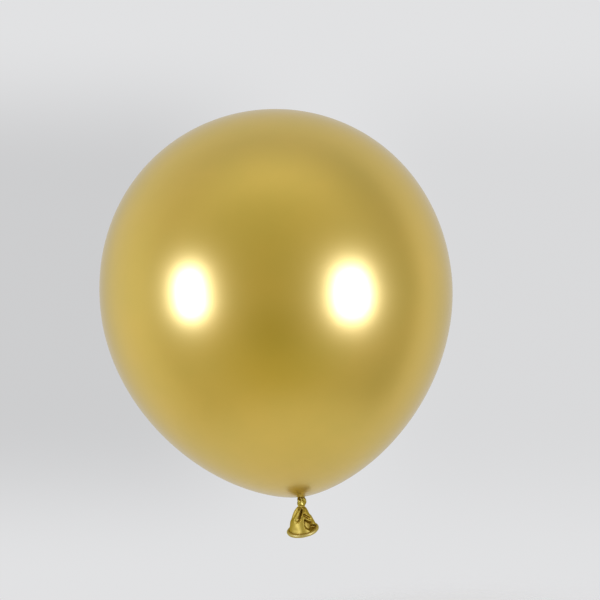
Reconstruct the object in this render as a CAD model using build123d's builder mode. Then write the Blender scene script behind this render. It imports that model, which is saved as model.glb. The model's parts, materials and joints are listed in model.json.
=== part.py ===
"""A round 12-inch latex balloon, blown up and closed with an overhand knot in its own neck.

Units are millimetres. The origin is the tie point, on the pinched neck between the bulb and the knot.
+Z runs up the bulb's axis to its crown, and -Y is the front.
"""

from build123d import *

import os
from math import acos, cos, degrees, radians, sin

# ---- bulb: a superellipse turned about Z, in an upper and a lower half ----
equator_radius = 140.0
crown_rise = 146.7  # equator up to the crown
neck_drop = 163.1  # equator down to the point where the outline would close
crown_powers = (2.09, 2.01)  # powers of height and of radius, above the equator
neck_powers = (1.91, 1.668)  # the same below it, where the bulb draws in to the neck
bulb_foot = 0.5  # height of that closing point above the tie point
film = 0.3  # wall of the bulb
outline_step = 15  # degrees between the outline's points

# ---- gathered collar where the film runs into the neck ----
gather_radius = 9.0
gather_film = 0.6  # less stretched, so thicker than the bulb
gather_hole = 1.2  # the outline runs in to this radius, where the socket cuts it off
gather_steps = (0.7, 0.4)  # fractions of the radius where its outline has its middle points

# ---- the two bending points and the strand between them ----
stem_radius = 1.9
throat_radius = 2.2
knot_length = 7.6  # tie point to the throat under the knot
play = 0.08  # clearance around every ball

# ---- knot ----
core_radius = 1.7
core_inset = 0.9  # how far the core's ends stay from the two bending points
wrap_radius = 1.05  # thickness of the strand that is wound round the core
wrap_pitch = 2.2
wrap_turns = 1.5
wrap_drop = 0.3  # the wrap sits this much below the middle of the knot, clear of the bulb

# ---- tail: pleated skirt and rolled lip ----
tail_lean = 7.5  # the knot and tail hang this far towards -X of the bulb's axis
skirt_film = 0.5
skirt_sections = [(8.9, 2.9), (11.0, 5.5), (16.6, 8.5)]  # depth below the tie point, radius
lip_depth = 25.8  # tie point to the centre of the rolled lip
lip_shift = 1.2  # the lip sits off the tail's axis, towards +X
lip_tilt = (15.5, -11.2, 0)  # front edge down, +X edge up
lip_radius = 11.3  # centre line of the rolled lip
bead_radius = 1.6

equator_height = bulb_foot + neck_drop
seam = 0.05  # clearance between pieces that only touch

# ---- planes and axes of the knot and tail, which lean as one ----
lean = radians(tail_lean)
tail_up = Vector(sin(lean), 0, cos(lean))
tail_right = Vector(cos(lean), 0, -sin(lean))
tail_level = Plane(origin=(0, 0, 0), x_dir=tail_right, z_dir=tail_up)
tail_section = Plane(origin=(0, 0, 0), x_dir=tail_right, z_dir=(0, -1, 0))
tail_axis = Axis((0, 0, 0), tail_up)
tie_point = Vector(0, 0, 0)
throat_point = tail_up * -knot_length
lip_centre = tail_up * -lip_depth + tail_right * lip_shift
lip_plane = Plane(origin=lip_centre, x_dir=tail_right, z_dir=tail_up).rotated(lip_tilt)


def arc_point(angle, rise, powers, inset):
    """Radius and height above the equator of an outline point, at an angle up from the equator."""
    height_power, radius_power = powers
    radius = (equator_radius - inset) * max(cos(radians(angle)), 0) ** (2 / radius_power)
    height = (rise - inset) * sin(radians(angle)) ** (2 / height_power)
    return radius, height


def bulb_outline(inset):
    """Points of the bulb's outline from the crown down to the collar, set in from the outside."""
    opening = degrees(acos((gather_radius / equator_radius) ** (neck_powers[1] / 2)))
    points = []
    for angle in range(90, 0, -outline_step):
        radius, height = arc_point(angle, crown_rise, crown_powers, inset)
        points.append((radius, equator_height + height))
    for angle in [*range(0, int(opening), outline_step), opening]:
        radius, height = arc_point(angle, neck_drop, neck_powers, inset)
        points.append((radius, equator_height - height))
    return points


def bulb_floor(radius):
    """Height of the bulb's underside at a radius near the neck."""
    height_power, radius_power = neck_powers
    drop = (1 - (radius / equator_radius) ** radius_power) ** (1 / height_power)
    return equator_height - neck_drop * drop


# ---- envelope: the thin inflated bulb ----
outer_outline = bulb_outline(0)
inner_outline = bulb_outline(film)
with BuildPart() as envelope:
    with BuildSketch(Plane.XZ):
        with BuildLine():
            Spline(*outer_outline)
            Line(outer_outline[-1], inner_outline[-1])
            Spline(*reversed(inner_outline))
            Line(inner_outline[0], outer_outline[0])
        make_face()
    revolve(axis=Axis.Z)

# ---- neck gather: the thick collar of puckered film round the neck ----
middle_radii = [step * gather_radius for step in gather_steps]
gather_radii = [gather_radius - seam, *middle_radii, gather_hole]
gather_under = [(radius, bulb_floor(radius)) for radius in gather_radii]
gather_over = [(radius, height + gather_film) for radius, height in gather_under]
with BuildPart() as neck_gather:
    with BuildSketch(Plane.XZ):
        with BuildLine():
            Spline(*gather_under)
            Line(gather_under[-1], gather_over[-1])
            Spline(*reversed(gather_over))
            Line(gather_over[0], gather_under[0])
        make_face()
    revolve(axis=Axis.Z)
    with Locations(tie_point):
        Sphere(stem_radius + play, mode=Mode.SUBTRACT)

# ---- neck stem: the twisted strand of the neck, rounded so that the knot can lean any way ----
with BuildPart() as neck_stem:
    with Locations(tie_point):
        Sphere(stem_radius)

# ---- knot core: the neck passing through the knot, cupped round both bending points ----
with BuildPart() as knot_core:
    with BuildSketch(tail_level.offset(-core_inset)):
        Circle(core_radius)
    extrude(amount=-(knot_length - 2 * core_inset))
    with Locations(tie_point):
        Sphere(stem_radius + play, mode=Mode.SUBTRACT)
    with Locations(throat_point):
        Sphere(throat_radius + play, mode=Mode.SUBTRACT)

# ---- knot wrap: the loop of the overhand knot, wound round the core ----
wrap_height = wrap_pitch * wrap_turns
wrap_foot = tail_up * -(knot_length / 2 + wrap_drop + wrap_height / 2)
wrap_centre_line = core_radius + seam + wrap_radius
with BuildPart() as knot_wrap:
    with BuildLine() as wrap_path:
        Helix(wrap_pitch, wrap_height, wrap_centre_line, center=wrap_foot, direction=tail_up)
    with BuildSketch(Plane(origin=wrap_path.line @ 0, z_dir=wrap_path.line % 0)):
        Circle(wrap_radius)
    sweep(path=wrap_path.line, is_frenet=True)

# ---- tail throat: the pinch under the knot ----
with BuildPart() as tail_throat:
    with Locations(throat_point):
        Sphere(throat_radius)

# ---- tail skirt: the unstretched neck, fanning out to the lip and open at its mouth ----
with BuildPart() as tail_skirt:
    for depth, radius in skirt_sections:
        with BuildSketch(tail_level.offset(-depth)):
            Circle(radius)
    with BuildSketch(lip_plane):
        Circle(lip_radius)
    loft()
    for depth, radius in skirt_sections[1:]:
        with BuildSketch(tail_level.offset(-depth)):
            Circle(radius - skirt_film)
    with BuildSketch(lip_plane):
        Circle(lip_radius - skirt_film)
    loft(mode=Mode.SUBTRACT)
    with Locations(lip_plane):
        Torus(lip_radius, bead_radius + seam, mode=Mode.SUBTRACT)
    with Locations(throat_point):
        Sphere(throat_radius + play, mode=Mode.SUBTRACT)

# ---- lip bead: the edge of the neck, rolled up on itself ----
with BuildPart() as lip_bead:
    with Locations(lip_plane):
        Torus(lip_radius, bead_radius)

os.makedirs("parts", exist_ok=True)
pieces = {
    "envelope": envelope,
    "neck_gather": neck_gather,
    "neck_stem": neck_stem,
    "knot_core": knot_core,
    "knot_wrap": knot_wrap,
    "tail_throat": tail_throat,
    "tail_skirt": tail_skirt,
    "lip_bead": lip_bead,
}
for name, piece in pieces.items():
    piece.part.label = name
    export_step(piece.part, f"parts/{name}.step")
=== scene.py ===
import json
import math

import bmesh
import bpy
import numpy as np
from mathutils import Matrix, Vector


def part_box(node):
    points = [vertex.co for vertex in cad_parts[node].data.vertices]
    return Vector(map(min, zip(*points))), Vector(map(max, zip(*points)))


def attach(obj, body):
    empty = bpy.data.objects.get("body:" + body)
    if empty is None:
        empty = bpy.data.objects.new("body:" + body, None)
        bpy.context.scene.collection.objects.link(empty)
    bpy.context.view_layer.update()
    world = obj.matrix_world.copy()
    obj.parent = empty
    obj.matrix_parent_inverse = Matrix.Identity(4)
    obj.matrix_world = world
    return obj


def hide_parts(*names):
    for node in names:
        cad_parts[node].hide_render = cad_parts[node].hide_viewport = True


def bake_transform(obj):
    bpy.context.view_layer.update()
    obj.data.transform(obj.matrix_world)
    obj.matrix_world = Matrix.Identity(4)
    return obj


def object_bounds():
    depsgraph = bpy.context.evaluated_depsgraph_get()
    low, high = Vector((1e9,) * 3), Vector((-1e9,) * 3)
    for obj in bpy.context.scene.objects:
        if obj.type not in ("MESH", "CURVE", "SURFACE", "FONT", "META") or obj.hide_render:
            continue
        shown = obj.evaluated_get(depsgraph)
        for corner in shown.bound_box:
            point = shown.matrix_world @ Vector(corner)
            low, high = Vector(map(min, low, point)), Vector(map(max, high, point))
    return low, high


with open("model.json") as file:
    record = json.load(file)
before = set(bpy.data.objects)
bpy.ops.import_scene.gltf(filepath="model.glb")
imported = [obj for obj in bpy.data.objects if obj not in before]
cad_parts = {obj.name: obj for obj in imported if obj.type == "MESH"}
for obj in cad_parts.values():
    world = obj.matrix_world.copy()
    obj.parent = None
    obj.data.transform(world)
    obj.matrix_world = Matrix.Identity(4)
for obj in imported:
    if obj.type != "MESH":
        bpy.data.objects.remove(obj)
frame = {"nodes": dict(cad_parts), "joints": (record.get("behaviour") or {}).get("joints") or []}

CAD_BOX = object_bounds()
MM = 0.001
TAU = 2 * math.pi

# ---- places and sizes, from the frame ----
JOINTS = {joint["name"]: joint for joint in frame["joints"]}
TIE = np.array(JOINTS["neck_side_bend"]["pos_m"])
THROAT = np.array(JOINTS["tail_side_bend"]["pos_m"])
TAIL_UP = (TIE - THROAT) / np.linalg.norm(TIE - THROAT)
TAIL_RIGHT = np.array(JOINTS["tail_front_bend"]["axis"])
TAIL_BACK = np.cross(TAIL_UP, TAIL_RIGHT)
KNOT_LENGTH = np.linalg.norm(TIE - THROAT)
BULB_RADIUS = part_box("envelope")[1].x
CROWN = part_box("envelope")[1].z
COLLAR_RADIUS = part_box("neck_gather")[1].x

# ---- bulb outline: the same superellipse as the CAD bulb ----
EQUATOR_SHARE = 0.5272  # height of the widest ring, as a share of the crown's height
BULB_FOOT = 0.5 * MM  # height at which the outline would close over the neck
CROWN_POWERS = (2.09, 2.01)
NECK_POWERS = (1.91, 1.668)
BULB_FILM = 0.3 * MM
EQUATOR = EQUATOR_SHARE * CROWN


def ring_plane(node):
    """Centre, normal, ring radius and tube radius of a ring-shaped CAD node."""
    points = np.array([v.co for v in frame["nodes"][node].data.vertices], float)
    centre = (points.min(0) + points.max(0)) / 2
    normal = np.linalg.svd(points - points.mean(0), full_matrices=False)[2][2]
    normal = normal * np.sign(normal @ TAIL_UP)
    away = points - centre
    flat = np.linalg.norm(away - np.outer(away @ normal, normal), axis=1)
    tube = np.abs(away @ normal).max()
    return centre, normal, flat.max() - tube, tube


LIP_CENTRE, LIP_UP, LIP_RADIUS, BEAD_RADIUS = ring_plane("lip_bead")
LIP_RIGHT = TAIL_RIGHT - (TAIL_RIGHT @ LIP_UP) * LIP_UP
LIP_RIGHT /= np.linalg.norm(LIP_RIGHT)
LIP_BACK = np.cross(LIP_UP, LIP_RIGHT)


# ---- small maths ----
def smooth(edge0, edge1, x):
    t = np.clip((np.asarray(x, float) - edge0) / (edge1 - edge0), 0, 1)
    return t * t * (3 - 2 * t)


def bump(x, centre, width):
    return np.exp(-(((np.asarray(x, float) - centre) / width) ** 2))


def turned(angle, centre):
    """Angle measured from a centre, between -pi and pi."""
    return (np.asarray(angle) - centre + math.pi) % TAU - math.pi


def wobble(angle, waves):
    """Sum of cosines round a ring: waves is a list of (count, size, phase)."""
    return sum(size * np.cos(count * angle + phase) for count, size, phase in waves)


# ---- mesh making ----
SHARP_EDGE = math.radians(50)  # edges that turn further than this are shaded sharp


def strip_mesh(name, rings, start=None, end=None, closed=False):
    """One surface through closed rings of points. start and end are points that close its ends."""
    rings = [np.asarray(ring, float) for ring in rings]
    count = len(rings[0])
    vertices = [tuple(p) for ring in rings for p in ring]
    faces = []
    pairs = list(zip(range(len(rings) - 1), range(1, len(rings))))
    if closed:
        pairs.append((len(rings) - 1, 0))
    for a, b in pairs:
        for i in range(count):
            j = (i + 1) % count
            faces.append((a * count + i, a * count + j, b * count + j, b * count + i))
    if start is not None:
        pole = len(vertices)
        vertices.append(tuple(start))
        faces += [(pole, (i + 1) % count, i) for i in range(count)]
    if end is not None:
        pole = len(vertices)
        last = (len(rings) - 1) * count
        vertices.append(tuple(end))
        faces += [(pole, last + i, last + (i + 1) % count) for i in range(count)]
    mesh = bpy.data.meshes.new(name)
    mesh.from_pydata(vertices, [], faces)
    mesh.validate()
    mesh.shade_smooth()
    mesh.set_sharp_from_angle(angle=SHARP_EDGE)
    piece = bpy.data.objects.new(name, mesh)
    bpy.context.scene.collection.objects.link(piece)
    return piece


def flat_ring(centre, reach, angle, right, back):
    """Points at a reach from a centre, at angles from right towards back."""
    return centre + np.outer(reach * np.cos(angle), right) + np.outer(reach * np.sin(angle), back)


def normals_of(rings):
    """Unit normals of a grid of rings, pointing out of a piece whose rings run downwards."""
    grid = np.array(rings, float)
    along = np.gradient(grid, axis=0)
    around = np.roll(grid, -1, axis=1) - np.roll(grid, 1, axis=1)
    normal = np.cross(along, around)
    length = np.linalg.norm(normal, axis=2, keepdims=True)
    return normal / np.maximum(length, 1e-12)


def film_mesh(name, rings, thickness, outer_pole=None, inner_pole=None):
    """A closed sheet of film: the rings, and the same rings set back by the thickness.

    thickness is one number for the whole sheet, or one for each ring.
    """
    back = np.array(rings) - np.reshape(thickness, (-1, 1, 1)) * normals_of(rings)
    loop = list(rings) + list(back[::-1])
    if outer_pole is None:
        return strip_mesh(name, loop, closed=True)
    return strip_mesh(name, loop, start=outer_pole, end=inner_pole)


def fuse(piece, voxel):
    """Turns a strand that presses into itself into one closed skin, in cells of the given size."""
    remesh = piece.modifiers.new("fuse", "REMESH")
    remesh.mode = "VOXEL"
    remesh.voxel_size = voxel
    remesh.use_smooth_shade = True
    smoothing = piece.modifiers.new("soften", "SMOOTH")
    smoothing.factor = 0.5
    smoothing.iterations = 5
    shaped = piece.evaluated_get(bpy.context.evaluated_depsgraph_get())
    mesh = bpy.data.meshes.new_from_object(shaped)
    piece.modifiers.clear()
    piece.data = mesh
    mesh.shade_smooth()


def face_outwards(piece):
    """Makes the faces of a closed piece point outwards."""
    work = bmesh.new()
    work.from_mesh(piece.data)
    bmesh.ops.recalc_face_normals(work, faces=work.faces)
    work.to_mesh(piece.data)
    work.free()


# ---- materials ----
FOLD_SHADE_REACH = 7 * MM  # painted shade in folds: film that faces other film nearer than this is shaded darker
FOLD_SHADE_SHUT, FOLD_SHADE_OPEN = 0.45, 0.92  # share of open space at which the painted fold shade is full and at which it is gone


def principled(name):
    material = bpy.data.materials.new(name)
    material.use_nodes = True
    nodes = material.node_tree.nodes
    return material, nodes, material.node_tree.links, nodes["Principled BSDF"]


def latex(name, base, deep, roughness, grain, coat, coat_roughness, rim, patch=None, crease=None):
    """Metallic latex: base and deep are its light and dark golds, grain the size of its flecks.

    patch is the heights between which the film turns to its deep gold towards the neck. crease is
    the colour of the shade painted into the film's folds, darkest where film closes in on film, and
    rim the colour of its reflections at the edge.
    """
    material, nodes, links, shader = principled(name)
    place = nodes.new("ShaderNodeTexCoord").outputs["Object"]

    def noise_at(scale, detail, rough=0.55):
        texture = nodes.new("ShaderNodeTexNoise")
        texture.inputs["Scale"].default_value = scale
        texture.inputs["Detail"].default_value = detail
        texture.inputs["Roughness"].default_value = rough
        links.new(place, texture.inputs["Vector"])
        return texture.outputs["Fac"]

    def span(value, low, high, new_low, new_high):
        change = nodes.new("ShaderNodeMapRange")
        change.inputs["From Min"].default_value = low
        change.inputs["From Max"].default_value = high
        change.inputs["To Min"].default_value = new_low
        change.inputs["To Max"].default_value = new_high
        links.new(value, change.inputs["Value"])
        return change.outputs["Result"]

    cloud = span(noise_at(14, 4), 0.3, 0.7, 0.0, 0.35)
    mix = nodes.new("ShaderNodeMix")
    mix.data_type = "RGBA"
    mix.inputs["A"].default_value = (*base, 1)
    mix.inputs["B"].default_value = (*deep, 1)
    amount = cloud
    if patch:
        top, bottom = patch
        split = nodes.new("ShaderNodeSeparateXYZ")
        links.new(place, split.inputs["Vector"])
        depth = nodes.new("ShaderNodeMapRange")
        depth.interpolation_type = "SMOOTHERSTEP"
        depth.inputs["From Min"].default_value = top
        depth.inputs["From Max"].default_value = bottom
        links.new(split.outputs["Z"], depth.inputs["Value"])
        highest = nodes.new("ShaderNodeMath")
        highest.operation = "MAXIMUM"
        links.new(cloud, highest.inputs[0])
        links.new(depth.outputs["Result"], highest.inputs[1])
        amount = highest.outputs["Value"]
    links.new(amount, mix.inputs["Factor"])
    colour = mix.outputs["Result"]
    # painted shade: where ambient occlusion finds film close by, in folds and hollows, the colour is
    # darkened towards the crease colour
    if crease:
        openness = nodes.new("ShaderNodeAmbientOcclusion")
        openness.samples = 8
        openness.inputs["Distance"].default_value = FOLD_SHADE_REACH
        painted_fold_shade = nodes.new("ShaderNodeMix")
        painted_fold_shade.data_type = "RGBA"
        painted_fold_shade.inputs["A"].default_value = (*crease, 1)
        links.new(colour, painted_fold_shade.inputs["B"])
        links.new(span(openness.outputs["AO"], FOLD_SHADE_SHUT, FOLD_SHADE_OPEN, 0.0, 1.0), painted_fold_shade.inputs["Factor"])
        colour = painted_fold_shade.outputs["Result"]
    links.new(colour, shader.inputs["Base Color"])

    shader.inputs["Roughness"].default_value = roughness
    shader.inputs["Coat Roughness"].default_value = coat_roughness
    shader.inputs["Metallic"].default_value = 1.0
    shader.inputs["Coat Weight"].default_value = coat
    shader.inputs["Coat IOR"].default_value = 1.5
    shader.inputs["Specular Tint"].default_value = (*rim, 1)

    flecks = nodes.new("ShaderNodeBump")
    flecks.inputs["Strength"].default_value = 0.05
    flecks.inputs["Distance"].default_value = grain * 0.2
    links.new(noise_at(1 / grain, 2, 0.7), flecks.inputs["Height"])
    links.new(flecks.outputs["Normal"], shader.inputs["Normal"])
    return material


# ---- bulb ----
RING_POINTS = 192


def bulb_point(angle):
    """Radius and height of the bulb at an angle above (or below) the equator, in radians."""
    if angle >= 0:
        height_power, radius_power = CROWN_POWERS
        rise = CROWN - EQUATOR
        return (BULB_RADIUS * max(math.cos(angle), 0) ** (2 / radius_power),
                EQUATOR + rise * math.sin(angle) ** (2 / height_power))
    height_power, radius_power = NECK_POWERS
    drop = EQUATOR - BULB_FOOT
    return (BULB_RADIUS * max(math.cos(angle), 0) ** (2 / radius_power),
            EQUATOR - drop * math.sin(-angle) ** (2 / height_power))


def bulb_floor(radius):
    """Height of the bulb's underside at a radius near the neck."""
    height_power, radius_power = NECK_POWERS
    drop = (1 - (radius / BULB_RADIUS) ** radius_power) ** (1 / height_power)
    return EQUATOR - (EQUATOR - BULB_FOOT) * drop


def ring_at(radius, height, count=RING_POINTS):
    angle = np.arange(count) * TAU / count
    return np.stack([radius * np.cos(angle), radius * np.sin(angle), np.full(count, height)], 1)


def make_bulb():
    closing = math.acos((COLLAR_RADIUS / BULB_RADIUS) ** (NECK_POWERS[1] / 2))
    angles = [math.radians(a) for a in (88.8, 87.6, 86.4)]
    angles += list(np.linspace(math.radians(85), -closing, 120))
    rings = [ring_at(*bulb_point(a)) for a in angles]
    return film_mesh("bulb", rings, BULB_FILM, outer_pole=(0, 0, CROWN),
                     inner_pole=(0, 0, CROWN - BULB_FILM))


# ---- gathered film at the neck ----
PLEATS = [(11, 0.55, 0.4), (7, 0.35, 2.1), (17, 0.25, 1.2), (5, 0.2, 4.0)]
STRAND_RADIUS = 2.2 * MM
STRAND_TOP = 1.6 * MM
PLEAT_DEPTH = 0.34 * MM
DIMPLE_DEPTH = 1.7 * MM
DIMPLE_RADIUS = 4.4 * MM  # where the collar's dimple is deepest
DIMPLE_WIDTH = 1.7 * MM
COLLAR_EDGE = COLLAR_RADIUS - 0.012 * MM  # a hair inside the bulb's edge, so that it turns freely
COLLAR_TWIST = 0.4  # turn of the pleats between the collar's edge and the strand
PLEAT_TWIST = 0.03  # turn of the pleats from ring to ring below it
STRAND_STEPS = 14


def strand_ring(height, twist):
    """A pleated ring of the gathered neck, level with the bulb."""
    angle = np.arange(RING_POINTS) * TAU / RING_POINTS
    reach = STRAND_RADIUS + PLEAT_DEPTH * wobble(angle + twist, PLEATS)
    return np.stack([reach * np.cos(angle), reach * np.sin(angle), np.full(RING_POINTS, height)], 1)


def make_collar():
    """The film round the tie: it rises into a dimple, then gathers into pleats and turns down."""
    rings = []
    steps = 40
    angle = np.arange(RING_POINTS) * TAU / RING_POINTS
    for i in range(steps):
        t = i / (steps - 1)
        radius = COLLAR_EDGE + (STRAND_RADIUS - COLLAR_EDGE) * t
        pleat = PLEAT_DEPTH * wobble(angle + COLLAR_TWIST * t, PLEATS)
        rise = (STRAND_TOP - bulb_floor(STRAND_RADIUS)) * smooth(0.45, 1, t)
        dimple = DIMPLE_DEPTH * bump(radius, DIMPLE_RADIUS, DIMPLE_WIDTH)
        height = bulb_floor(radius) + rise + dimple * smooth(0, 0.35, t) * smooth(1, 0.7, t)
        lift = 0.8 * smooth(0.08, 0.6, t) * smooth(1.3, 0.6, t) * pleat
        reach = radius + smooth(0.4, 1, t) * pleat
        rings.append(np.stack([reach * np.cos(angle), reach * np.sin(angle), height + lift], 1))
    thickness = BULB_FILM * (1 - 0.6 * smooth(0.5, 1, np.linspace(0, 1, steps)))
    return film_mesh("neck_collar", rings, thickness)


def make_neck_strand():
    heights = np.linspace(STRAND_TOP, 0, STRAND_STEPS)
    rings = [strand_ring(height, COLLAR_TWIST + PLEAT_TWIST * i) for i, height in enumerate(heights)]
    return strip_mesh("neck_strand", rings, start=(0, 0, heights[0]), end=(0, 0, heights[-1]))


# ---- knot and tail, in the tail's own frame ----
def on_tail(x, y, depth):
    """A point right, back and below the tie point, along the leaning tail."""
    return TIE + np.multiply.outer(x, TAIL_RIGHT) + np.multiply.outer(y, TAIL_BACK) \
        - np.multiply.outer(depth, TAIL_UP)


CORE_STEPS = 40
CORE_LENGTH = KNOT_LENGTH - 1.1 * MM
CORE_WAIST = 0.5 * MM  # how much the neck narrows half way through the knot
STRAND_END_TWIST = COLLAR_TWIST + PLEAT_TWIST * (STRAND_STEPS - 1)
PINCH_TWIST = STRAND_END_TWIST + PLEAT_TWIST * (CORE_STEPS - 1)
PINCH_RADIUS = 2.55 * MM


def make_knot_core():
    """The neck where it passes through the knot: level with the bulb at the top, then along the tail."""
    rings = []
    angle = np.arange(RING_POINTS) * TAU / RING_POINTS
    for i in range(CORE_STEPS):
        share = i / (CORE_STEPS - 1)
        radius = STRAND_RADIUS + (PINCH_RADIUS - STRAND_RADIUS) * share
        radius = radius - CORE_WAIST * math.sin(math.pi * share)
        lean = smooth(0, 0.35, share)
        right = (1 - lean) * np.array((1, 0, 0)) + lean * TAIL_RIGHT
        reach = radius + PLEAT_DEPTH * wobble(angle + STRAND_END_TWIST + PLEAT_TWIST * i, PLEATS)
        rings.append(flat_ring(on_tail(0, 0, CORE_LENGTH * share), reach, angle, right, TAIL_BACK))
    return strip_mesh("knot_neck", rings, start=on_tail(0, 0, 0), end=on_tail(0, 0, CORE_LENGTH))


# The strand runs three times up and down while it goes twice round the tail, as in a trefoil.
KNOT_ROUND = 1.25 * MM  # mean distance of the strand from the tail's axis
KNOT_SWING = 0.75 * MM  # how far it swings in and out
KNOT_RISE = 2.2 * MM  # how far it swings up and down
KNOT_MIDDLE = 0.43 * KNOT_LENGTH  # its depth below the tie
KNOT_STRAND = 1.9 * MM
KNOT_FLATNESS = 0.95  # height of the strand's section, as a share of its width
KNOT_CELL = 0.09 * MM  # cell size in which the strand is fused with itself
KNOT_FRONT = math.radians(-121)  # angle round the tail at which one lobe stands out


def make_knot_wrap():
    """The knot itself: one thick strand of gathered film, tied tight round the neck."""
    steps, count = 330, 80
    angle = np.arange(count) * TAU / count
    turn = np.arange(steps) * TAU / steps
    out = KNOT_ROUND + KNOT_SWING * np.cos(3 * turn)
    around_tail = 2 * turn + KNOT_FRONT
    depth = KNOT_MIDDLE + KNOT_RISE * np.sin(3 * turn)
    path = on_tail(out * np.cos(around_tail), out * np.sin(around_tail), depth)
    along = np.roll(path, -1, axis=0) - np.roll(path, 1, axis=0)
    along /= np.linalg.norm(along, axis=1, keepdims=True)
    rings = []
    for i in range(steps):
        away = math.cos(around_tail[i]) * TAIL_RIGHT + math.sin(around_tail[i]) * TAIL_BACK
        side = away - (away @ along[i]) * along[i]
        side /= np.linalg.norm(side)
        up = np.cross(side, along[i])
        at = turn[i]
        fold = wobble(angle, [(4, 0.035, 2 * at), (9, 0.03, 1 - 3 * at), (15, 0.015, 4 * at)])
        pinch = 1 + 0.04 * math.sin(5 * at + 1) + 0.025 * math.sin(19 * at) * math.sin(7 * at)
        reach = KNOT_STRAND * pinch * (1 + fold)
        rings.append(flat_ring(path[i], reach, angle, side, KNOT_FLATNESS * up))
    knot = strip_mesh("knot_strand", rings, closed=True)
    fuse(knot, KNOT_CELL)
    return knot


# ---- skirt: the pleated tail ----
SKIRT_POINTS = 288
THROAT_RADIUS = 2.75 * MM
FILM = 0.2 * MM

BACK_FOLDS = (  # angle at the top and at the bottom, share of the length, width, depth in mm
    (40, 28, 0.72, 14, 2.1),
    (76, 92, 0.90, 13, 2.3),
    (118, 108, 0.62, 14, 1.9),
    (152, 166, 0.82, 13, 2.1),
)


def skirt_relief(angle, share):
    """Outward shift of the skirt's film in mm, at an angle round the tail and a share of its length."""
    shift = np.zeros_like(angle)

    def crease(top, bottom, start, stop, width, depth, sharp=1.0):
        """A valley (or a ridge, with negative depth) that runs from angle top to angle bottom."""
        run = (share - start) / (stop - start)
        centre = math.radians(top + (bottom - top) * min(max(run, 0), 1))
        window = smooth(0, 0.2, run) * smooth(1, 0.7, run)
        profile = np.exp(-(np.abs(turned(angle, centre)) / math.radians(width)) ** (1 + sharp))
        return -depth * window * profile

    # the deep fold down the front, with a raised edge on its left
    shift += crease(-82, -121, 0.01, 0.60, 10, 2.7)
    shift += crease(-100, -144, 0.02, 0.62, 11, -0.9, 0.8)
    # small folds left of it, and a dent above the lip
    shift += crease(-124, -158, 0.02, 0.36, 9, 1.0, 0.5)
    shift += crease(-155, -172, 0.02, 0.60, 11, 1.4, 0.4)
    shift -= 0.8 * bump(turned(angle, math.radians(-124)), 0, 0.42) * bump(share, 0.86, 0.13)
    # on the right, a hollow, then a sloping fold, and a deep pocket under it
    slant = math.radians(26) * smooth(0.70, 0.96, share)
    right = turned(angle, math.radians(-83) + slant) / math.radians(56)
    edge = 0.39 + 0.22 * np.clip(right, 0, 1)
    across = smooth(0.0, 0.22, right) * smooth(1.15, 0.75, right)
    hollow = smooth(edge - 0.20, edge - 0.13, share) * smooth(edge - 0.02, edge - 0.08, share)
    shift -= 1.9 * hollow * across
    shift += 0.6 * bump(share, edge - 0.01, 0.05) * across
    shift -= 3.7 * smooth(edge, edge + 0.14, share) * smooth(1.0, 0.86, share) * across
    # folds round the sides and the back
    shift += crease(-20, 6, 0.02, 0.38, 12, 1.3, 0.5)
    for top, bottom, stop, width, depth in BACK_FOLDS:
        shift += crease(top, bottom, 0.02, stop, width, depth, 0.5)
        shift += crease(top + 17, bottom + 20, 0.02, stop, width - 2, -0.8, 0.8)
    return shift


SKIRT_STEPS = 110
JOIN_STEP = 16  # the ring at which the throat's film ends and the skirt's own begins
HOLLOW_RINGS = 12  # rings of the throat, from its mouth up, that are hollow
THROAT_STEPS = 11


def skirt_length(step):
    """Share of the skirt's length at a ring: the rings lie closer together near the throat."""
    return (step / (SKIRT_STEPS - 1)) ** 1.15


def skirt_ring(step):
    angle = np.arange(SKIRT_POINTS) * TAU / SKIRT_POINTS
    length = skirt_length(step)
    flare = (length ** 0.62 + length * (1.75 - 0.75 * length)) / 2
    radius = THROAT_RADIUS + (LIP_RADIUS - THROAT_RADIUS) * flare
    centre = THROAT + (LIP_CENTRE - THROAT) * length
    lean = smooth(0.15, 1, length)
    right = (1 - lean) * TAIL_RIGHT + lean * LIP_RIGHT
    back = (1 - lean) * TAIL_BACK + lean * LIP_BACK
    gather = PLEAT_DEPTH / MM * wobble(angle + PINCH_TWIST, PLEATS) * (1 - smooth(0, 0.35, length))
    reach = radius + MM * (gather + skirt_relief(angle, length))
    return flat_ring(centre, reach, angle, right, back)


def make_skirt():
    return film_mesh("skirt_film", [skirt_ring(i) for i in range(JOIN_STEP, SKIRT_STEPS)], FILM)


def make_throat():
    """The pinch under the knot, and the first of the skirt's film below it, hollow from its mouth up."""
    rings = []
    angle = np.arange(SKIRT_POINTS) * TAU / SKIRT_POINTS
    for i in range(THROAT_STEPS):
        share = i / THROAT_STEPS
        centre = on_tail(0, 0, CORE_LENGTH + (KNOT_LENGTH - CORE_LENGTH) * share)
        radius = PINCH_RADIUS + (THROAT_RADIUS - PINCH_RADIUS) * share ** 3
        reach = radius + PLEAT_DEPTH * wobble(angle + PINCH_TWIST, PLEATS)
        rings.append(flat_ring(centre, reach, angle, TAIL_RIGHT, TAIL_BACK))
    rings += [skirt_ring(i) for i in range(JOIN_STEP + 1)]
    inside = (np.array(rings) - FILM * normals_of(rings))[-HOLLOW_RINGS:]
    return strip_mesh("throat_pleats", rings + list(inside[::-1]), start=on_tail(0, 0, CORE_LENGTH),
                      end=on_tail(0, 0, KNOT_LENGTH + 0.6 * MM))


# ---- lip ----
ROLL_EDGE = 0.9  # angle round the bead at which the roll's free edge lies, above and outside


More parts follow.
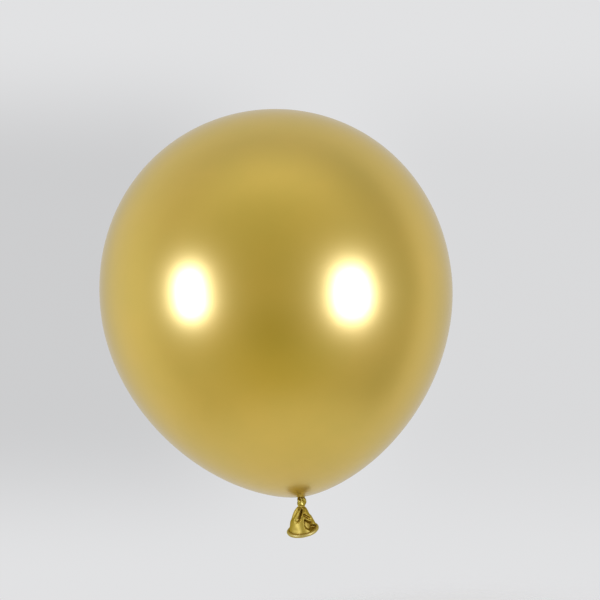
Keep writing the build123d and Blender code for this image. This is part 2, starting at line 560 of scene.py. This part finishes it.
def make_lip():
    """The rolled lip: a wrinkled bead whose roll shows as a fine step along its outer side."""
    steps, count = 420, 56
    section = np.arange(count) * TAU / count
    rings = []
    for i in range(steps):
        angle = i * TAU / steps
        away = math.cos(angle) * LIP_RIGHT + math.sin(angle) * LIP_BACK
        uneven = wobble(angle, [(3, 0.035, 1.0), (8, 0.02, 0.4), (13, 0.012, 2.2)])
        wrinkle = wobble(angle, [(37, 0.003, 0.0), (52, 0.003, 1.3), (71, 0.003, 2.9)])
        turn = (section - ROLL_EDGE - 0.25 * math.sin(2 * angle + 0.5)) % TAU
        roll = 0.07 * smooth(0, TAU, turn) + 0.05 * bump(turn, 0, 0.25) - 0.05 * bump(turn, TAU, 0.2)
        reach = BEAD_RADIUS * (0.96 + uneven + wrinkle * np.cos(section) + roll)
        centre = LIP_CENTRE + away * LIP_RADIUS + LIP_UP * 0.12 * MM * math.sin(2 * angle + 0.6)
        rings.append(flat_ring(centre, reach, section, away, LIP_UP))
    return strip_mesh("lip_bead_roll", rings, closed=True)


# ---- build ----
GOLD = (0.80, 0.562, 0.089)
DEEP_GOLD = (0.60, 0.485, 0.07)
chrome = latex("chrome_gold_film", GOLD, DEEP_GOLD, roughness=0.29, grain=0.9 * MM, coat=1.0,
               coat_roughness=0.27, rim=(0.92, 0.86, 0.62), patch=(5.0 * MM, 1.0 * MM))
# crease in these materials is the colour of the shade painted into each film's folds
gathered = latex("gathered_gold_film", (0.53, 0.42, 0.06), (0.43, 0.33, 0.03), roughness=0.42,
                 grain=0.6 * MM, coat=0.08, coat_roughness=0.35, rim=(0.78, 0.72, 0.32),
                 crease=(0.30, 0.20, 0.02))
satin = latex("satin_gold_film", (0.50, 0.37, 0.048), (0.43, 0.315, 0.03), roughness=0.52,
              grain=0.5 * MM, coat=0.05, coat_roughness=0.4, rim=(0.70, 0.63, 0.27),
              crease=(0.28, 0.18, 0.015))
rolled = latex("rolled_gold_film", (0.57, 0.46, 0.11), (0.48, 0.38, 0.07), roughness=0.48,
               grain=0.5 * MM, coat=0.15, coat_roughness=0.4, rim=(0.80, 0.74, 0.42),
               crease=(0.38, 0.28, 0.06))

bulb = make_bulb()
collar = make_collar()
strand = make_neck_strand()
core = make_knot_core()
wrap = make_knot_wrap()
throat = make_throat()
skirt = make_skirt()
lip = make_lip()

for piece, material, slot in ((bulb, chrome, "chrome_latex"), (collar, chrome, "gathered_latex"),
                              (strand, gathered, "gathered_latex"), (core, gathered, "gathered_latex"),
                              (wrap, gathered, "gathered_latex"), (throat, satin, "gathered_latex"),
                              (skirt, satin, "tail_latex"), (lip, rolled, "rolled_latex")):
    face_outwards(piece)
    piece.data.materials.append(material)

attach(bulb, "envelope")
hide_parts("envelope")
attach(collar, "collar")
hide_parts("neck_gather")
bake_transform(strand)
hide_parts("neck_stem")
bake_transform(core)
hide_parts("knot_core")
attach(wrap, "knot")
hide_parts("knot_wrap")
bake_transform(throat)
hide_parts("tail_throat")
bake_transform(skirt)
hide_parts("tail_skirt")
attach(lip, "tail")
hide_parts("lip_bead")


# ---- studio ----
SOFTBOX_DISTANCE = 1.5
SOFTBOX_COLOUR = (0.88, 1.0, 2.5)  # cool light, so that its reflections in the gold are nearly white


def softbox(name, direction, width, height, watts):
    data = bpy.data.lights.new(name, "AREA")
    data.shape = "RECTANGLE"
    data.size, data.size_y = width, height
    data.energy = watts
    data.color = SOFTBOX_COLOUR
    light = bpy.data.objects.new(name, data)
    light.visible_diffuse = False
    bpy.context.scene.collection.objects.link(light)
    target = Vector((0, 0, EQUATOR))
    light.location = target + Vector(direction).normalized() * SOFTBOX_DISTANCE
    light.rotation_mode = "QUATERNION"
    light.rotation_quaternion = (target - light.location).to_track_quat("-Z", "Y")


CAMERA_ROLL = math.radians(7.0)  # rolled, so that the bulb leans and the tail hangs straight
VIEW_RIGHT = Vector((math.cos(CAMERA_ROLL), 0, -math.sin(CAMERA_ROLL)))
VIEW_UP = Vector((math.sin(CAMERA_ROLL), 0, math.cos(CAMERA_ROLL)))
VIEW_BACK = Vector((0, -1, 0))


def around(sideways, up):
    """Direction from the balloon: degrees to the right of the camera's side, and degrees up."""
    s, u = math.radians(sideways), math.radians(up)
    return (math.sin(s) * VIEW_RIGHT + math.cos(s) * VIEW_BACK) * math.cos(u) + math.sin(u) * VIEW_UP


softbox("softbox_left", around(-52, -1.6), width=0.29, height=0.46, watts=8.5)
softbox("softbox_right", around(46.8, -0.6), width=0.40, height=0.50, watts=11.0)

BACKDROP_COLOUR = (0.755, 0.758, 0.768)
LEFT_SHADE, RIGHT_SHADE = 0.19, 0.08  # how much the painted shadow of the balloon darkens the backdrop on each side of it
CORNER_ANGLE, CORNER_WIDTH = 88, 23  # the room's corners, in degrees from the camera's side
CORNER_SHADE = 0.09  # how much darker they are

# What the balloon reflects: (degrees from the camera's side, red, green, blue) on the way up, down,
# left and right from the camera to the point opposite it.
CAMERA_SIDE = (0, 0.43, 0.405, 0.21)
ROOM_ABOVE = (
    CAMERA_SIDE, (25, 0.47, 0.45, 0.27), (45, 0.54, 0.53, 0.39), (70, 0.76, 0.75, 0.72),
    (103, 0.57, 0.56, 0.60), (120, 0.64, 0.64, 0.64), (180, 0.60, 0.60, 0.60),
)
ROOM_BELOW = (
    CAMERA_SIDE, (21, 0.355, 0.325, 0.085), (48, 0.52, 0.475, 0.225), (66, 0.605, 0.56, 0.415),
    (98, 0.57, 0.53, 0.42), (113, 0.63, 0.60, 0.54), (128, 0.64, 0.64, 0.64), (180, 0.60, 0.60, 0.60),
)
ROOM_LEFT = (
    CAMERA_SIDE, (42, 0.49, 0.47, 0.31), (80, 0.55, 0.53, 0.41), (98, 0.77, 0.76, 0.70),
    (120, 0.76, 0.75, 0.73), (150, 0.60, 0.60, 0.60),
)
ROOM_RIGHT = (
    CAMERA_SIDE, (42, 0.49, 0.47, 0.31), (94, 0.46, 0.44, 0.33), (112, 0.74, 0.72, 0.69),
    (150, 0.62, 0.62, 0.62),
)


def make_world():
    world = bpy.data.worlds.new("studio")
    bpy.context.scene.world = world
    world.use_nodes = True
    nodes, links = world.node_tree.nodes, world.node_tree.links
    nodes.clear()

    def math_node(operation, a, b=None):
        node = nodes.new("ShaderNodeMath")
        node.operation = operation
        for socket, value in zip(node.inputs, (a, b)):
            if value is None:
                continue
            if isinstance(value, (int, float)):
                socket.default_value = value
            else:
                links.new(value, socket)
        return node.outputs[0]

    def ramp(value, stops):
        """Colour by degrees from the camera's side: stops are (degrees, red, green, blue)."""
        node = nodes.new("ShaderNodeValToRGB")
        node.color_ramp.interpolation = "EASE"
        while len(node.color_ramp.elements) < len(stops):
            node.color_ramp.elements.new(0.5)
        for element, (place, *colour) in zip(node.color_ramp.elements, stops):
            element.position = place / 180
            element.color = (*colour, 1)
        links.new(value, node.inputs["Fac"])
        return node.outputs["Color"]

    def mixed(amount, first, second):
        node = nodes.new("ShaderNodeMix")
        node.data_type = "RGBA"
        links.new(amount, node.inputs["Factor"])
        links.new(first, node.inputs["A"])
        links.new(second, node.inputs["B"])
        return node.outputs["Result"]

    direction = nodes.new("ShaderNodeTexCoord").outputs["Generated"]

    def along(axis):
        dot = nodes.new("ShaderNodeVectorMath")
        dot.operation = "DOT_PRODUCT"
        dot.inputs[1].default_value = axis
        links.new(direction, dot.inputs[0])
        return dot.outputs["Value"]

    def ease(value, low, high, kind="SMOOTHERSTEP"):
        node = nodes.new("ShaderNodeMapRange")
        node.interpolation_type = kind
        node.inputs["From Min"].default_value = low
        node.inputs["From Max"].default_value = high
        links.new(value, node.inputs["Value"])
        return node.outputs["Result"]

    x, z = along(VIEW_RIGHT), along(VIEW_UP)
    polar = math_node("MULTIPLY", math_node("ARCCOSINE", along(VIEW_BACK)), 1 / math.pi)
    upright = math_node("MULTIPLY", z, z)
    flat = math_node("MULTIPLY", x, x)
    vertical = math_node("DIVIDE", upright, math_node("ADD", math_node("ADD", upright, flat), 1e-4))
    high = ease(z, -0.35, 0.35, "SMOOTHSTEP")
    rightwards = ease(x, -0.35, 0.35, "SMOOTHSTEP")
    poles = mixed(high, ramp(polar, ROOM_BELOW), ramp(polar, ROOM_ABOVE))
    sides = mixed(rightwards, ramp(polar, ROOM_LEFT), ramp(polar, ROOM_RIGHT))
    room = mixed(vertical, sides, poles)

    # the room is a little darker in its two upper corners and in the lower right one
    mixture = math_node("MULTIPLY", vertical, math_node("SUBTRACT", 1, vertical))
    diagonal = math_node("MULTIPLY", mixture, 4)
    away = math_node("SUBTRACT", polar, CORNER_ANGLE / 180)
    away = math_node("ABSOLUTE", math_node("DIVIDE", away, CORNER_WIDTH / 180))
    near = math_node("DIVIDE", 1, math_node("ADD", 1, math_node("POWER", away, 4)))
    dark_corner = math_node("MAXIMUM", high, rightwards)
    corner = math_node("MULTIPLY", math_node("MULTIPLY", diagonal, near), dark_corner)
    dim = nodes.new("ShaderNodeVectorMath")
    dim.operation = "SCALE"
    links.new(room, dim.inputs[0])
    brightness = math_node("SUBTRACT", 1, math_node("MULTIPLY", corner, CORNER_SHADE))
    links.new(brightness, dim.inputs["Scale"])
    room = dim.outputs[0]

    def background(colour):
        node = nodes.new("ShaderNodeBackground")
        if isinstance(colour, tuple):
            node.inputs["Color"].default_value = colour
        else:
            links.new(colour, node.inputs["Color"])
        return node.outputs[0]

    def pick(amount, first, second):
        node = nodes.new("ShaderNodeMixShader")
        links.new(amount, node.inputs["Fac"])
        links.new(first, node.inputs[1])
        links.new(second, node.inputs[2])
        return node.outputs[0]

    # painted shadow on the backdrop seen by the camera: darker on both sides of the balloon, more on the
    # left
    split = nodes.new("ShaderNodeSeparateXYZ")
    links.new(nodes.new("ShaderNodeTexCoord").outputs["Window"], split.inputs["Vector"])
    across, height = split.outputs["X"], split.outputs["Y"]
    level = math_node("MULTIPLY", ease(height, 0.02, 0.34), ease(height, 0.97, 0.68))
    left_shade = math_node("MULTIPLY", ease(across, 0.60, 0.18), LEFT_SHADE)
    right_shade = math_node("MULTIPLY", ease(across, 0.45, 0.80), RIGHT_SHADE)
    shade = math_node("MULTIPLY", level, math_node("ADD", left_shade, right_shade))
    backdrop = nodes.new("ShaderNodeVectorMath")
    backdrop.operation = "SCALE"
    backdrop.inputs[0].default_value = BACKDROP_COLOUR
    links.new(math_node("SUBTRACT", 1, shade), backdrop.inputs["Scale"])

    ray = nodes.new("ShaderNodeLightPath").outputs
    lit = pick(ray["Is Glossy Ray"], background((0.9, 0.9, 0.92, 1)), background(room))
    shown = pick(ray["Is Camera Ray"], lit, background(backdrop.outputs[0]))
    output = nodes.new("ShaderNodeOutputWorld")
    links.new(shown, output.inputs["Surface"])


make_world()


# ---- floor ----
FLOOR_DROP = 0.10  # how far the floor lies below the balloon
FLOOR_RADIUS = 0.36
FLOOR_RINGS = 24


def make_floor():
    level = CAD_BOX[0].z - FLOOR_DROP
    rings = [ring_at(FLOOR_RADIUS * (i + 1) / FLOOR_RINGS, level, 96) for i in range(FLOOR_RINGS)]
    floor = strip_mesh("floor", rings, start=(0, 0, level))
    material, nodes, links, shader = principled("pale_floor")
    shader.inputs["Base Color"].default_value = (0.835, 0.838, 0.84, 1)
    shader.inputs["Roughness"].default_value = 0.8
    place = nodes.new("ShaderNodeTexCoord").outputs["Object"]
    reach = nodes.new("ShaderNodeVectorMath")
    reach.operation = "LENGTH"
    flatten = nodes.new("ShaderNodeVectorMath")
    flatten.operation = "MULTIPLY"
    flatten.inputs[1].default_value = (1, 1, 0)
    links.new(place, flatten.inputs[0])
    links.new(flatten.outputs[0], reach.inputs[0])
    fade = nodes.new("ShaderNodeMapRange")
    fade.interpolation_type = "SMOOTHERSTEP"
    fade.inputs["From Min"].default_value = FLOOR_RADIUS * 0.25
    fade.inputs["From Max"].default_value = FLOOR_RADIUS * 0.9
    links.new(reach.outputs["Value"], fade.inputs["Value"])
    clear = nodes.new("ShaderNodeBsdfTransparent")
    mix = nodes.new("ShaderNodeMixShader")
    links.new(fade.outputs["Result"], mix.inputs["Fac"])
    links.new(shader.outputs[0], mix.inputs[1])
    links.new(clear.outputs[0], mix.inputs[2])
    links.new(mix.outputs[0], nodes["Material Output"].inputs["Surface"])
    floor.data.materials.append(material)


make_floor()

# ---- camera: level with the bulb ----
CAMERA_DISTANCE = 1.2
FRAME_WIDTH = 0.4792  # width of the view at the balloon
BULB_OFFSET = (0.0187, 0.0048)  # the bulb's widest ring sits this far left of and above the middle


def make_camera():
    data = bpy.data.cameras.new("camera")
    data.sensor_width = 36
    data.lens = data.sensor_width * CAMERA_DISTANCE / FRAME_WIDTH
    camera = bpy.data.objects.new("camera", data)
    bpy.context.scene.collection.objects.link(camera)
    middle = Vector((0, 0, EQUATOR)) + VIEW_RIGHT * BULB_OFFSET[0] - VIEW_UP * BULB_OFFSET[1]
    place = Matrix((VIEW_RIGHT, VIEW_UP, VIEW_BACK)).transposed().to_4x4()
    place.translation = middle + VIEW_BACK * CAMERA_DISTANCE
    camera.matrix_world = place
    bpy.context.scene.camera = camera


make_camera()
bpy.context.scene.view_settings.view_transform = "Standard"
